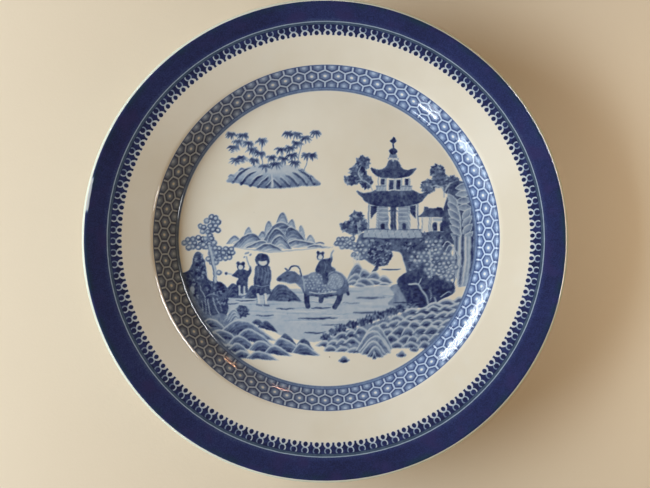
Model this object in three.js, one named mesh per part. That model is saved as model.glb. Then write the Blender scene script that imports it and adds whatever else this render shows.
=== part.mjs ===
// A china dinner plate: a wide flanged rim (the marly), a steep curved wall (the cavetto), a flat well
// and a turned foot. Millimetres, +Z up. The origin is on the table, under the middle of the foot ring,
// and +Y points to the top of the painted scene.
//
// The plate is modelled as the potter builds it up: a fired clay body, four layers of cobalt colour laid
// on its face, the glaze coat that seals them, and the bare foot ring. Every layer is a band between two
// depths below the glazed surface, so the layers meet face to face along shared outline points.
import * as THREE from "three";

// Overall form.
const rimRadius = 125;
const plateHeight = 26;
const lipRadius = 1.75; // the rounded edge, half the thickness of the rim
const marlySlope = THREE.MathUtils.degToRad(15.5); // how steeply the flange rises

// The face, from the middle outwards.
const floorHeight = 8; // top of the well above the table
const wellRadius = 80; // where the flat floor turns up into the cavetto
const wellFillet = 3;
const vergeRadius = 90.6; // where the cavetto turns out into the marly
const vergeFillet = 2;

// The back, from the lip inwards.
const backVerge = { r: 93.4, z: 13.2 };
const backHeel = { r: 79.5, z: 4.6 };
const backFillet = 3;
const baseHeight = 4; // underside of the clay body inside the foot

// The foot ring, a short tapered ring.
const footTop = { inner: 69.6, outer: 76 };
const footTread = { inner: 71.4, outer: 74.6 };
const footBevel = 0.6;

// Layer depths, measured square to the glazed surface.
const coatDepth = 0.5; // the glaze alone
const printDepth = 0.3; // the glaze over a coloured layer
const baseGlazeThickness = 0.4;

// Radii that bound the coloured layers on the face.
const scene = { inner: 0, outer: 79.2 };
const honeycomb = { inner: 79.2, outer: 91.3 };
const lace = { inner: 105.8, outer: 112.9 };
const band = { inner: 113.4, outer: 124 };

// How finely the round shapes are cut.
const turns = 48;
const filletSteps = 3;
const lipSteps = 6;

const clay = new THREE.MeshStandardMaterial({ color: 0xe6ddcb, roughness: 0.85, metalness: 0 });
const glaze = new THREE.MeshStandardMaterial({ color: 0xdfd8c6, roughness: 0.08, metalness: 0 });
const darkCobalt = new THREE.MeshStandardMaterial({ color: 0x232a5c, roughness: 0.1, metalness: 0 });
const washedCobalt = new THREE.MeshStandardMaterial({ color: 0x5f76a4, roughness: 0.1, metalness: 0 });

// Rounds the corner between three points with a quadratic curve that starts and ends `reach` from it.
function fillet(before, corner, after, reach) {
  const start = corner.clone().add(before.clone().sub(corner).setLength(reach));
  const end = corner.clone().add(after.clone().sub(corner).setLength(reach));
  return new THREE.QuadraticBezierCurve(start, corner, end).getPoints(filletSteps);
}

// The glazed outline, as (radius, height) points from the middle of the face, round the lip and back to
// the foot.
function glazedOutline() {
  const lipCentre = new THREE.Vector2(rimRadius - lipRadius, plateHeight - lipRadius);
  const lipStart = Math.PI / 2 + marlySlope;
  const lipPoint = (angle) =>
    new THREE.Vector2(lipRadius * Math.cos(angle), lipRadius * Math.sin(angle)).add(lipCentre);
  const faceEnd = lipPoint(lipStart);
  const backStart = lipPoint(lipStart - Math.PI);

  const middle = new THREE.Vector2(0, floorHeight);
  const wellCorner = new THREE.Vector2(wellRadius, floorHeight);
  const rise = Math.tan(marlySlope) * (faceEnd.x - vergeRadius);
  const verge = new THREE.Vector2(vergeRadius, faceEnd.y - rise);
  const backVergeCorner = new THREE.Vector2(backVerge.r, backVerge.z);
  const heelCorner = new THREE.Vector2(backHeel.r, backHeel.z);
  const footSide = new THREE.Vector2(footTop.outer + 0.3, baseHeight - coatDepth);

  const points = [middle];
  points.push(...fillet(middle, wellCorner, verge, wellFillet));
  points.push(...fillet(wellCorner, verge, faceEnd, vergeFillet));
  for (let i = 0; i <= lipSteps; i++) points.push(lipPoint(lipStart - (Math.PI * i) / lipSteps));
  points.push(...fillet(backStart, backVergeCorner, heelCorner, backFillet));
  points.push(...fillet(backVergeCorner, heelCorner, footSide, backFillet / 2));
  points.push(footSide);
  return points;
}

// Adds a point at this radius to the face part of an outline, unless one is there already.
function splitAt(points, radius) {
  const next = points.findIndex((p) => p.x >= radius - 1e-6);
  if (Math.abs(points[next].x - radius) < 1e-6) return;
  const from = points[next - 1];
  const share = (radius - from.x) / (points[next].x - from.x);
  points.splice(next, 0, from.clone().lerp(points[next], share));
}

const outline = glazedOutline();
for (const zone of [scene, honeycomb, lace, band])
  for (const radius of [zone.inner, zone.outer]) splitAt(outline, radius);

// The outward direction at each outline point. The two ends stay on the axis and on the foot's level.
const outward = outline.map((point, i) => {
  if (i === 0) return new THREE.Vector2(0, 1);
  if (i === outline.length - 1) return new THREE.Vector2(0, -1);
  const along = outline[i + 1].clone().sub(point).normalize();
  along.add(point.clone().sub(outline[i - 1]).normalize());
  return new THREE.Vector2(-along.y, along.x).normalize();
});

const atDepth = (i, depth) => outline[i].clone().addScaledVector(outward[i], -depth);
const indexOf = (radius) => outline.findIndex((p) => Math.abs(p.x - radius) < 1e-6);
const range = (from, to) => Array.from({ length: to - from + 1 }, (_, k) => from + k);

// Turns a (radius, height) profile, listed clockwise, into a solid about the Z axis.
function turned(name, profile, material) {
  const geometry = new THREE.LatheGeometry([...profile].reverse(), turns).rotateX(Math.PI / 2);
  const mesh = new THREE.Mesh(geometry, material);
  mesh.name = name;
  return mesh;
}

// Closes a profile that is not on the axis at both ends.
const closed = (profile) => [...profile, profile[0].clone()];

function clayBody() {
  const skin = outline.map((_, i) => atDepth(i, coatDepth));
  const underside = new THREE.Vector2(0, baseHeight);
  return turned("clay_body", [...skin, underside], clay);
}

// One coloured layer on the face, between the clay and the glaze.
function colourLayer(name, zone, material) {
  const members = range(indexOf(zone.inner), indexOf(zone.outer));
  const over = members.map((i) => atDepth(i, printDepth));
  const under = members.map((i) => atDepth(i, coatDepth)).reverse();
  const profile = [...over, ...under];
  return turned(name, zone.inner === 0 ? profile : closed(profile), material);
}

// The glaze over the face, round the lip and down the back to the foot. It is thinner over colour, so its
// inner side steps where a coloured layer begins or ends.
function glazeCoat() {
  const coloured = (r) => [scene, honeycomb, lace, band].some((z) => r > z.inner && r < z.outer);
  const inner = [];
  const depthBetween = (i) => {
    const onFace = outline[i + 1].x > outline[i].x;
    return onFace && coloured((outline[i].x + outline[i + 1].x) / 2) ? printDepth : coatDepth;
  };
  for (let i = 0; i < outline.length; i++) {
    const before = depthBetween(Math.max(i - 1, 0));
    const after = depthBetween(Math.min(i, outline.length - 2));
    inner.push(atDepth(i, before));
    if (after !== before) inner.push(atDepth(i, after));
  }
  return turned("glaze_coat", [...outline, ...inner.reverse()], glaze);
}

// The glazed disc inside the foot ring.
function baseGlaze() {
  const edge = footTop.inner - 0.3;
  const low = baseHeight - baseGlazeThickness;
  const profile = [
    new THREE.Vector2(0, baseHeight),
    new THREE.Vector2(edge, baseHeight),
    new THREE.Vector2(edge, low),
    new THREE.Vector2(0, low),
  ];
  return turned("base_glaze", profile, glaze);
}

function footRing() {
  const corners = [
    [footTop.inner, baseHeight],
    [footTop.outer, baseHeight],
    [footTread.outer + footBevel, footBevel],
    [footTread.outer, 0],
    [footTread.inner, 0],
    [footTread.inner - footBevel, footBevel],
  ];
  return turned("foot_ring", closed(corners.map(([r, z]) => new THREE.Vector2(r, z))), clay);
}

const plate = new THREE.Group();
plate.add(clayBody());
plate.add(footRing());
plate.add(colourLayer("centre_scene_print", scene, washedCobalt));
plate.add(colourLayer("honeycomb_border_print", honeycomb, washedCobalt));
plate.add(colourLayer("lace_border_print", lace, darkCobalt));
plate.add(colourLayer("rim_band", band, darkCobalt));
plate.add(glazeCoat());
plate.add(baseGlaze());

export default plate;
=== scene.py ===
import math
import random

import bmesh
import bpy
import numpy as np
from mathutils import Matrix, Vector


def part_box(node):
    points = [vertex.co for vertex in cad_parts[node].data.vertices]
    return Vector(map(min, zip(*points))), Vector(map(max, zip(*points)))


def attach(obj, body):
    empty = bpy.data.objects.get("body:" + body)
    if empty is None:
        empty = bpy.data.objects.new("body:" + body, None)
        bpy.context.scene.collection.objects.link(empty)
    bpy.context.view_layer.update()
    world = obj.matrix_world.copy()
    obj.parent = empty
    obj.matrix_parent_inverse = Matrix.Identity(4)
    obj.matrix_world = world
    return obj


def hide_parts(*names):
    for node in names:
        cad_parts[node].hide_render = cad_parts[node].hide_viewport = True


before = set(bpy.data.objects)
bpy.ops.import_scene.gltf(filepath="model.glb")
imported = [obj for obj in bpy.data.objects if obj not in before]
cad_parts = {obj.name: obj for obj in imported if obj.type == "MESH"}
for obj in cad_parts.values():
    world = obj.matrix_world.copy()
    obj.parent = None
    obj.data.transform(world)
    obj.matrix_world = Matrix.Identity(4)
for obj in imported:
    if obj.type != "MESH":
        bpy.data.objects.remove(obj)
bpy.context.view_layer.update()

print("frame loaded:", sorted(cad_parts))

mm = 0.001
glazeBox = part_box("glaze_coat")
rimRadius = glazeBox[1][0] / mm
plateHeight = glazeBox[1][2] / mm
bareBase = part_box("clay_body")[0][2] / mm  # underside of the clay inside the foot


class Sock:
    # wraps one output socket, so that shader maths can be written as plain expressions
    def __init__(self, net, socket):
        self.net = net
        self.socket = socket

    def calc(self, operation, *others):
        return self.net.node("ShaderNodeMath", {"operation": operation}, [self, *others])

    def __add__(self, other):
        return self.calc("ADD", other)

    def __sub__(self, other):
        return self.calc("SUBTRACT", other)

    def __rsub__(self, other):
        return self.net.node("ShaderNodeMath", {"operation": "SUBTRACT"}, [other, self])

    def __mul__(self, other):
        return self.calc("MULTIPLY", other)

    def __truediv__(self, other):
        return self.calc("DIVIDE", other)

    __radd__ = __add__
    __rmul__ = __mul__

    def low(self, other):
        return self.calc("MINIMUM", other)

    def high(self, other):
        return self.calc("MAXIMUM", other)

    def size(self):
        return self.calc("ABSOLUTE")

    def root(self):
        return self.calc("SQRT")

    def part(self):
        return self.calc("FRACT")

    def rise(self, start, end, low=0.0, high=1.0):
        # smooth step from low at start to high at end
        return self.net.node("ShaderNodeMapRange", {"interpolation_type": "SMOOTHSTEP"},
                             {"Value": self, "From Min": start, "From Max": end, "To Min": low,
                              "To Max": high})


class Finish:
    # one material and its node tree
    def __init__(self, name):
        self.material = bpy.data.materials.new(name)
        self.material.use_nodes = True
        self.tree = self.material.node_tree
        self.tree.nodes.clear()
        self.output = self.tree.nodes.new("ShaderNodeOutputMaterial")
        self.shader = self.tree.nodes.new("ShaderNodeBsdfPrincipled")
        self.tree.links.new(self.shader.outputs[0], self.output.inputs[0])

    def node(self, kind, settings=None, values=(), out=0):
        made = self.tree.nodes.new(kind)
        stops = None
        for key, value in (settings or {}).items():
            if key == "stops":
                stops = value
            else:
                setattr(made, key, value)
        if stops:
            ramp = made.color_ramp
            while len(ramp.elements) > 1:
                ramp.elements.remove(ramp.elements[-1])
            for i, (place, colour) in enumerate(stops):
                stop = ramp.elements[0] if i == 0 else ramp.elements.new(place)
                stop.position = place
                stop.color = (*colour, 1.0)
        pairs = values.items() if isinstance(values, dict) else enumerate(values)
        for key, value in pairs:
            self.feed(made.inputs[key], value)
        return Sock(self, made.outputs[out])

    def feed(self, target, value):
        if isinstance(value, Sock):
            self.tree.links.new(value.socket, target)
        elif isinstance(value, (tuple, list)) and len(value) == 3 and len(target.default_value) == 4:
            target.default_value = (*value, 1.0)
        else:
            target.default_value = value

    def mix(self, share, first, second):
        made = self.tree.nodes.new("ShaderNodeMix")
        made.data_type = "RGBA"
        self.feed(made.inputs[0], share)
        self.feed(made.inputs[6], first)
        self.feed(made.inputs[7], second)
        return Sock(self, made.outputs[2])

    def place(self):
        return self.node("ShaderNodeTexCoord", out=3)

    def noise(self, scale, detail=3.0, rough=0.5, place=None, stretch=None):
        where = place or self.place()
        if stretch:
            where = self.node("ShaderNodeMapping", {}, {"Vector": where, "Scale": stretch})
        return self.node("ShaderNodeTexNoise", {}, {"Vector": where, "Scale": scale, "Detail": detail,
                                                    "Roughness": rough})

    def set(self, **values):
        for key, value in values.items():
            self.feed(self.shader.inputs[key.replace("_", " ")], value)


# the glaze is one finish, over whatever colour lies under it
glazeLook = {
    "white": (0.78, 0.765, 0.72),
    "warmPool": (0.72, 0.69, 0.62),
    "coolPool": (0.74, 0.76, 0.75),
    "lip": (0.52, 0.63, 0.58), "foot": (0.58, 0.64, 0.66),
    "lipFrom": (122.6, 123.9), "footFrom": (80.0, 76.5),  # the radii over which those two tints come in
    "speck": (0.16, 0.12, 0.09), "speckSpacing": 85.0, "speckReach": (0.05, 0.025),
    "roughness": (0.07, 0.17),  # clean, and rubbed
    "orangePeel": 0.035,
    # noise scale, detail and roughness of each pattern in the glaze
    "pools": (17.0, 4.0, 0.55), "drifts": (60.0, 3.0, 0.6),
    "rubs": (420.0, 5.0, 0.7), "skin": (240.0, 2.0, 0.4), "swell": (42.0, 1.0, 0.4),
}


def whiteGlaze(net):
    # a white body under glaze that pools a little warmer and cooler, with a few iron specks
    pool = net.noise(*glazeLook["pools"])
    drift = net.noise(*glazeLook["drifts"])
    ground = net.mix(pool.rise(0.35, 0.75), glazeLook["white"], glazeLook["warmPool"])
    ground = net.mix(drift.rise(0.5, 0.85) * 0.35, ground, glazeLook["coolPool"])
    cells = net.node("ShaderNodeTexVoronoi", {"feature": "F1"},
                     {"Vector": net.place(), "Scale": glazeLook["speckSpacing"], "Randomness": 1.0})
    rare = net.noise(190.0, 0.0)
    speck = cells.rise(*glazeLook["speckReach"]) * rare.rise(0.66, 0.7)
    return net.mix(speck * 0.85, ground, glazeLook["speck"])


def glazeOver(net, colour):
    # gloss with faint rub marks, over a skin that is never quite flat
    rub = net.noise(*glazeLook["rubs"], stretch=(1.0, 0.25, 1.0))
    skin = net.noise(*glazeLook["skin"])
    swell = net.noise(*glazeLook["swell"])
    height = skin * 0.25 + swell
    bump = net.node("ShaderNodeBump", {}, {"Strength": glazeLook["orangePeel"], "Distance": 0.002,
                                           "Height": height})
    net.set(Base_Color=colour, Roughness=rub.rise(0.45, 0.8, *glazeLook["roughness"]),
            IOR=1.52, Normal=bump)
    return net.material


# the turned outline of the plate, in millimetres
shape = {
    "lip": 1.75, "lipFull": 0.7, "lipSteps": 29,  # half the thickness, and 1.0 for a true half round
    "marlySlope": math.radians(15.5),
    "floor": 8.0,
    "wellCorner": 80.0, "wellRound": 3.0,
    "shoulder": (84.0, 12.0), "shoulderRound": 2.5,
    "verge": 90.6, "vergeRound": 1.9,
    "backVerge": (93.4, 13.2), "backRound": 5.0,
    "heel": (79.5, 4.6), "heelRound": 2.4,
    "footTop": (69.6, 76.0), "footTread": (71.4, 74.6), "footBevel": 0.6,
    "baseGlaze": 0.4, "baseGlazeEdge": 68.6, "baseTop": (68.0, 0.8), "inside": [(80.5, 6.0), (93.0, 14.6)],
    "turns": 288, "layer": 1.1,  # steps round the plate, and how deep a layer of the face goes
}
zones = {"scene": 79.2, "honeycomb": 91.3, "marly": 105.0, "lace": 113.0, "band": 124.0}


def roundCorner(before, corner, after, reach, steps=14):
    # a smooth curve that leaves and meets the two straight sides `reach` from the corner
    a, c, b = (np.array(p, float) for p in (before, corner, after))
    start = c + (a - c) / np.linalg.norm(a - c) * reach
    end = c + (b - c) / np.linalg.norm(b - c) * reach
    t = np.linspace(0, 1, steps + 1)[:, None]
    return ((1 - t) ** 2 * start + 2 * t * (1 - t) * c + t ** 2 * end).tolist()


def turnedOutline():
    centre = np.array([rimRadius - shape["lip"], plateHeight - shape["lip"]])
    first = math.pi / 2 + shape["marlySlope"]
    # a full lip, flatter on top than a half round
    lip = []
    for a in np.linspace(first, first - math.pi, shape["lipSteps"]):
        way = np.array([math.cos(a), math.sin(a)])
        lip.append(centre + shape["lip"] * np.copysign(np.abs(way) ** shape["lipFull"], way))
    middle = (0.0, shape["floor"])
    corner = (shape["wellCorner"], shape["floor"])
    rise = math.tan(shape["marlySlope"]) * (lip[0][0] - shape["verge"])
    verge = (shape["verge"], lip[0][1] - rise)
    foot = (shape["footTop"][1], bareBase)
    face = [middle]
    face += roundCorner(middle, corner, shape["shoulder"], shape["wellRound"])
    face += roundCorner(corner, shape["shoulder"], verge, shape["shoulderRound"])
    face += roundCorner(shape["shoulder"], verge, tuple(lip[0]), shape["vergeRound"])
    back = roundCorner(tuple(lip[-1]), shape["backVerge"], shape["heel"], shape["backRound"])
    back += roundCorner(shape["backVerge"], shape["heel"], foot, shape["heelRound"])
    back += [foot]
    return np.array(face), np.array(lip), np.array(back)


face, lip, back = turnedOutline()
facePoints = np.vstack([face, lip[:shape["lipSteps"] // 2 + 1]])


def faceHeight(radius):
    return np.interp(radius, facePoints[:, 0], facePoints[:, 1])


throwing = {
    # radius, and how far the face has drifted there to the right and up
    "drift": ((0, 0.75, 1.45), (79, 0.75, 1.45), (91, 0.75, 1.7), (106, 0.45, 1.1), (113, 0.35, 0.85),
              (122, 0, 0)),
    "stiffInside": 78.0, "reach": 47.0,  # the clay keeps its shape inside the first
    # waves round the plate, their size and where they start
    "lift": ((2, 0.3, 0.7), (3, 0.16, 2.2)),
    "swell": ((2, 0.0022, 1.9), (5, 0.0012, 0.0)),
}


def kilnWarp(points, face):
    # the slight pull out of round that the firing leaves, nothing at the foot and most at the lip,
    # and the face a little off the wheel's centre inside its rim
    radius = np.hypot(points[:, 0], points[:, 1]) / mm
    if face:
        stops = np.array(throwing["drift"], float)
        for axis in (0, 1):
            points[:, axis] += np.interp(radius, stops[:, 0], stops[:, 1 + axis]) * mm
    angle = np.arctan2(points[:, 1], points[:, 0])
    share = np.clip((radius - throwing["stiffInside"]) / throwing["reach"], 0, 1) ** 1.4
    for waves, most, start in throwing["lift"]:
        points[:, 2] += share * mm * most * np.sin(waves * angle + start)
    swell = sum(most * np.sin(waves * angle + start) for waves, most, start in throwing["swell"])
    points[:, :2] *= (1 + share * swell)[:, None]
    return points


def settle(name, bm, finish, sharp=35.0, face=False, ink=None):
    # writes a bmesh to a piece, stores each point's radius on the wheel and its ink, and warps it
    bmesh.ops.remove_doubles(bm, verts=bm.verts, dist=1e-6)
    bmesh.ops.recalc_face_normals(bm, faces=bm.faces)
    mesh = bpy.data.meshes.new(name)
    bm.to_mesh(mesh)
    bm.free()
    points = np.empty(len(mesh.vertices) * 3)
    mesh.vertices.foreach_get("co", points)
    points = points.reshape(-1, 3)
    wheel = mesh.attributes.new("wheelRadius", "FLOAT", "POINT")
    wheel.data.foreach_set("value", np.hypot(points[:, 0], points[:, 1]) / mm)
    if ink:
        cobaltDepth = mesh.attributes.new("ink", "FLOAT", "POINT")
        cobaltDepth.data.foreach_set("value", ink(points))
    mesh.vertices.foreach_set("co", kilnWarp(points, face).ravel())
    mesh.update()
    mesh.shade_smooth()
    mesh.set_sharp_from_angle(angle=math.radians(sharp))
    piece = bpy.data.objects.new(name, mesh)
    bpy.context.scene.collection.objects.link(piece)
    mesh.materials.append(finish)
    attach(piece, "root")
    return piece


def turn(name, profile, finish, closed=True, sharp=35.0, face=False):
    # spins a (radius, height) profile about the plate's axis
    bm = bmesh.new()
    verts = [bm.verts.new((r * mm, 0, z * mm)) for r, z in profile]
    edges = [bm.edges.new(pair) for pair in zip(verts, verts[1:])]
    if closed:
        edges.append(bm.edges.new((verts[-1], verts[0])))
    bmesh.ops.spin(bm, geom=verts + edges, cent=(0, 0, 0), axis=(0, 0, 1), angle=2 * math.pi,
                   steps=shape["turns"], use_merge=True)
    return settle(name, bm, finish, sharp, face)


def wellDisc(name, radius, finish, ink, segments=310):
    # the round floor of the well as an even net, fine enough to carry the painting
    bm = bmesh.new()
    bmesh.ops.create_grid(bm, x_segments=segments, y_segments=segments, size=1.0)
    for vert in bm.verts:
        x, y = vert.co.x, vert.co.y
        reach = max(abs(x), abs(y))
        if reach > 0:
            wide = abs(x) >= abs(y)
            turned = math.pi / 4 * (y / x if wide else x / y)
            ray = (math.cos(turned), math.sin(turned)) if wide else (math.sin(turned), math.cos(turned))
            far = math.copysign(reach * radius * mm, x if wide else y)
            vert.co.x, vert.co.y = (far * part for part in ray)
        vert.co.z = float(faceHeight(reach * radius)) * mm
    rim = [edge for edge in bm.edges if edge.is_boundary]
    made = bmesh.ops.extrude_edge_only(bm, edges=rim)["geom"]
    wall = [item for item in made if isinstance(item, bmesh.types.BMVert)]
    bmesh.ops.translate(bm, verts=wall, vec=(0, 0, -shape["layer"] * mm))
    rim = [edge for edge in bm.edges if edge.is_boundary]
    made = bmesh.ops.extrude_edge_only(bm, edges=rim)["geom"]
    under = [item for item in made if isinstance(item, bmesh.types.BMVert)]
    bmesh.ops.pointmerge(bm, verts=under, merge_co=(0, 0, (shape["floor"] - shape["layer"]) * mm))
    return settle(name, bm, finish, face=True, ink=ink)


def faceSlab(start, end, pitch=0.55):
    # the profile of one zone of the face, a layer between two radii
    inner = facePoints[(facePoints[:, 0] > start + 0.05) & (facePoints[:, 0] < end - 0.05)]
    straight = np.arange(start, end, pitch)
    radii = np.unique(np.round(np.concatenate([[start, end], inner[:, 0], straight]), 4))
    top = [(r, float(faceHeight(r))) for r in radii]
    return top + [(r, z - shape["layer"]) for r, z in (top[-1], *reversed(top[1:-1:4]), top[0])]


def ringPlace(net):
    # angle round the plate and radius on the wheel
    parts = net.node("ShaderNodeSeparateXYZ", {}, [net.place()])
    across = Sock(net, parts.socket.node.outputs[0])
    along = Sock(net, parts.socket.node.outputs[1])
    angle = net.node("ShaderNodeMath", {"operation": "ARCTAN2"}, [along, across])
    radius = net.node("ShaderNodeAttribute", {"attribute_name": "wheelRadius"}, out=2)
    return angle, radius


# cobalt from a bare trace to its full depth, and the same cobalt washed thin under a wet glaze
deepCobalt = [(0.0, (0.70, 0.72, 0.74)), (0.12, (0.50, 0.57, 0.68)), (0.25, (0.33, 0.43, 0.60)),
              (0.5, (0.13, 0.19, 0.35)), (0.75, (0.045, 0.07, 0.175)), (0.87, (0.0225, 0.035, 0.14)),
              (1.0, (0.014, 0.02, 0.075))]
brightCobalt = [(0.0, (0.68, 0.73, 0.80)), (0.12, (0.44, 0.55, 0.75)), (0.25, (0.27, 0.38, 0.61)),
                (0.5, (0.1, 0.163, 0.34)), (0.75, (0.03, 0.06, 0.19)), (1.0, (0.012, 0.02, 0.08))]
borderBand = {"tone": 0.46, "line": 0.35, "lineTone": 0.66}


def cobaltInk(net, depth, ground, stops=deepCobalt, uneven=0.14):
    # the colour of a given depth of cobalt, uneven as it soaks into the body
    soak = net.noise(330.0, 3.0, 0.6)
    grain = net.noise(1500.0, 2.0, 0.6)
    depth = depth * soak.rise(0.2, 0.8, 1 - uneven, 1 + uneven * 0.7) * grain.rise(0.25, 0.75, 0.92, 1.06)
    ink = net.node("ShaderNodeValToRGB", {"stops": stops}, [depth])
    return net.mix(depth.rise(0.01, 0.1), ground, ink)


honeycombLook = {
    # cells round the plate, the radius of their middle row, and the step from row to row
    "cells": 78, "middle": 85.3, "row": 4.15,
    "line": 0.068, "lineTone": 0.14, "tones": (0.42, 0.74),  # each cell darkens towards its outline
    "heart": (0.2, 0.06), "heartFade": 0.9, "cutHeart": 0.4,
    "innerBand": 80.0, "outer": 90.35, "shake": (0.09, 0.06),
}


def honeycombFinish():
    net = Finish("honeycombBorder")
    angle, radius = ringPlace(net)
    look = honeycombLook
    tall = math.sqrt(3)
    wander = net.noise(150.0, 2.0) - 0.5
    u = angle * (look["cells"] / (2 * math.pi)) + wander * look["shake"][0]
    v = (radius - look["middle"]) * (tall / 2 / look["row"]) + wander * look["shake"][1]

    def fromCentre(shift):
        # place inside the nearest hexagon of one of the two sets of rows
        x = (u + shift).part() - 0.5
        y = (((v + shift * tall) / tall + 0.5).part() - 0.5) * tall
        return x, y

    def reach(x, y):
        # 0 at the centre of a hexagon, 0.5 at its sides
        return x.size().high(x.size() * 0.5 + y.size() * (tall / 2))

    one, two = fromCentre(0.0), fromCentre(0.5)
    near = reach(*one).low(reach(*two))
    middle = (one[0] * one[0] + one[1] * one[1]).root().low((two[0] * two[0] + two[1] * two[1]).root())
    outline = near.rise(0.5 - look["line"] * 1.3, 0.5 - look["line"] * 0.6)
    body = near.rise(0.2, 0.4, *look["tones"])
    cutOff = (radius - look["middle"]).size().rise(look["row"] * 0.4, look["row"] * 0.7)
    heart = middle.rise(*look["heart"]) * (1 - cutOff * look["cutHeart"])
    depth = body * (1 - heart * look["heartFade"])
    depth = depth * (1 - outline) + outline * look["lineTone"]
    # the plain band at the foot of the wall, and the fine dark lines that bound the border
    band = radius.rise(look["innerBand"] + 0.15, look["innerBand"] - 0.15)
    depth = depth * (1 - band) + band * borderBand["tone"]
    for edge in (look["innerBand"], look["outer"]):
        fine = (radius - edge).size().rise(borderBand["line"], borderBand["line"] * 0.4)
        depth = depth.high(fine * borderBand["lineTone"])
    depth = depth * radius.rise(look["outer"] + 0.35, look["outer"] - 0.05)
    return glazeOver(net, cobaltInk(net, depth, whiteGlaze(net), brightCobalt))


laceLook = {
    # cells round the plate, and the radius of the fine line that everything else hangs from
    "cells": 115, "line": 112.7,
    "pitchAt": 109.5, "outerDot": 2.75, "innerDot": 5.85, "star": 4.2,
    "dots": ((1.2, 0.95), (1.28, 1.0)), "ring": 1.6,
    "tone": 0.97, "ringFade": 0.83, "haze": 0.1, "lineTone": 0.3,
    "stripTone": 0.74, "stripGreen": (0.045, 0.085, 0.11),
}


def laceFinish():
    net = Finish("laceBorder")
    angle, radius = ringPlace(net)
    look = laceLook
    wander = net.noise(170.0, 2.0) - 0.5
    cell = angle * (look["cells"] / (2 * math.pi)) + wander * 0.08
    pitch = 2 * math.pi * look["pitchAt"] / look["cells"]
    x = (cell.part() - 0.5) * pitch
    between = ((cell + 0.5).part() - 0.5) * pitch
    t = look["line"] - radius + wander * 0.3

    def ringAt(depth):
        y = t - depth
        return (x * x + y * y).root()

    outerDot, innerDot = ringAt(look["outerDot"]), ringAt(look["innerDot"])
    ground = t.rise(4.9, 4.5)
    star = (between.size() * 1.35 + (t - look["star"]).size()).rise(2.5, 2.1)
    pendant = between.size().rise(0.75, 0.45) * t.rise(7.1, 6.7)
    dark = ground.high(star).high(pendant)
    inking = net.noise(260.0, 1.0).rise(0.38, 0.6, 0.84, 1.0)
    cup = (outerDot - look["ring"]).size().rise(0.46, 0.2) * t.rise(1.5, 1.9)
    cup = cup * x.rise(-1.5, 0.5, 0.72, 1.0) * inking
    collar = (innerDot - look["ring"]).size().rise(0.42, 0.18) * t.rise(6.2, 5.7)
    dark = dark * (1 - cup.high(collar) * look["ringFade"])
    for dot, reach in zip((outerDot, innerDot), look["dots"]):
        dark = dark.high(dot.rise(*reach))
    depth = dark * look["tone"]
    strip = t.rise(1.5, 1.25)
    depth = depth * (1 - strip) + strip * look["stripTone"]
    depth = depth.high(t.rise(8.4, 5.0) * look["haze"])
    fine = t.size().rise(0.36, 0.14)
    depth = depth * (1 - fine) + fine * look["lineTone"]
    ink = cobaltInk(net, depth, whiteGlaze(net))
    ink = net.mix(strip * (1 - fine) * 0.5, ink, look["stripGreen"])
    return glazeOver(net, ink)


bandLook = {
    "tone": 0.93, "violet": (0.032, 0.03, 0.125), "green": (0.014, 0.042, 0.075),
            "fadeOut": (123.8, 123.45),
    "chipSpacing": 34.0, "chipReach": (0.07, 0.045), "chipFrom": (122.6, 123.4),
    "paleStretchAt": 2.945, "paleStretchReach": (0.085, 0.06), "paleStretchFrom": (122.3, 122.75), "paleStretchDepth": 0.88,
}


def rimBandFinish():
    net = Finish("rimBand")
    angle, radius = ringPlace(net)
    streak = net.noise(26.0, 3.0, 0.5)
    cloud = net.noise(75.0, 2.0, 0.5)
    depth = bandLook["tone"] + (streak - 0.5) * 0.2 - radius.rise(115.6, 113.1) * 0.1
    depth = depth * radius.rise(*bandLook["fadeOut"])
    chip = net.node("ShaderNodeTexVoronoi", {"feature": "F1"},
                    {"Vector": net.place(), "Scale": bandLook["chipSpacing"], "Randomness": 1.0})
    loss = chip.rise(*bandLook["chipReach"]) * radius.rise(*bandLook["chipFrom"])
    # along one stretch of the edge the blue thins almost to the bare glaze colour, with a ragged inner edge
    ragged = (cloud - 0.5) * 1.4
    paleStretch = (angle - bandLook["paleStretchAt"]).size().rise(*bandLook["paleStretchReach"])
    paleStretch = paleStretch * (radius + ragged).rise(*bandLook["paleStretchFrom"])
    depth = depth * (1 - loss.high(paleStretch * bandLook["paleStretchDepth"]))
    ink = cobaltInk(net, depth, whiteGlaze(net), uneven=0.035)
    body = depth.rise(0.4, 0.8)
    ink = net.mix(cloud.rise(0.5, 0.72) * body * 0.6, ink, bandLook["violet"])
    green = radius.rise(119.5, 123.4) * cloud.rise(0.6, 0.35) * body
    ink = net.mix(green * 0.75, ink, bandLook["green"])
    return glazeOver(net, ink)


def sceneFinish():
    net = Finish("paintedScene")
    depth = net.node("ShaderNodeAttribute", {"attribute_name": "ink"}, out=2)
    return glazeOver(net, cobaltInk(net, depth, whiteGlaze(net)))


def plainGlazeFinish(name, rimTint=False):
    net = Finish(name)
    colour = whiteGlaze(net)
    if rimTint:
        # the glaze runs thin and grey-green over the lip, and gathers bluish at the foot
        radius = net.node("ShaderNodeAttribute", {"attribute_name": "wheelRadius"}, out=2)
        colour = net.mix(radius.rise(*glazeLook["lipFrom"]) * 0.8, colour, glazeLook["lip"])
        colour = net.mix(radius.rise(*glazeLook["footFrom"]) * 0.35, colour, glazeLook["foot"])
    return glazeOver(net, colour)


clayLook = {
    "pale": (0.66, 0.58, 0.46), "stained": (0.42, 0.31, 0.2), "grit": (0.3, 0.24, 0.18),
    "roughness": (0.72, 0.92), "bump": 0.35,
}


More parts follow.
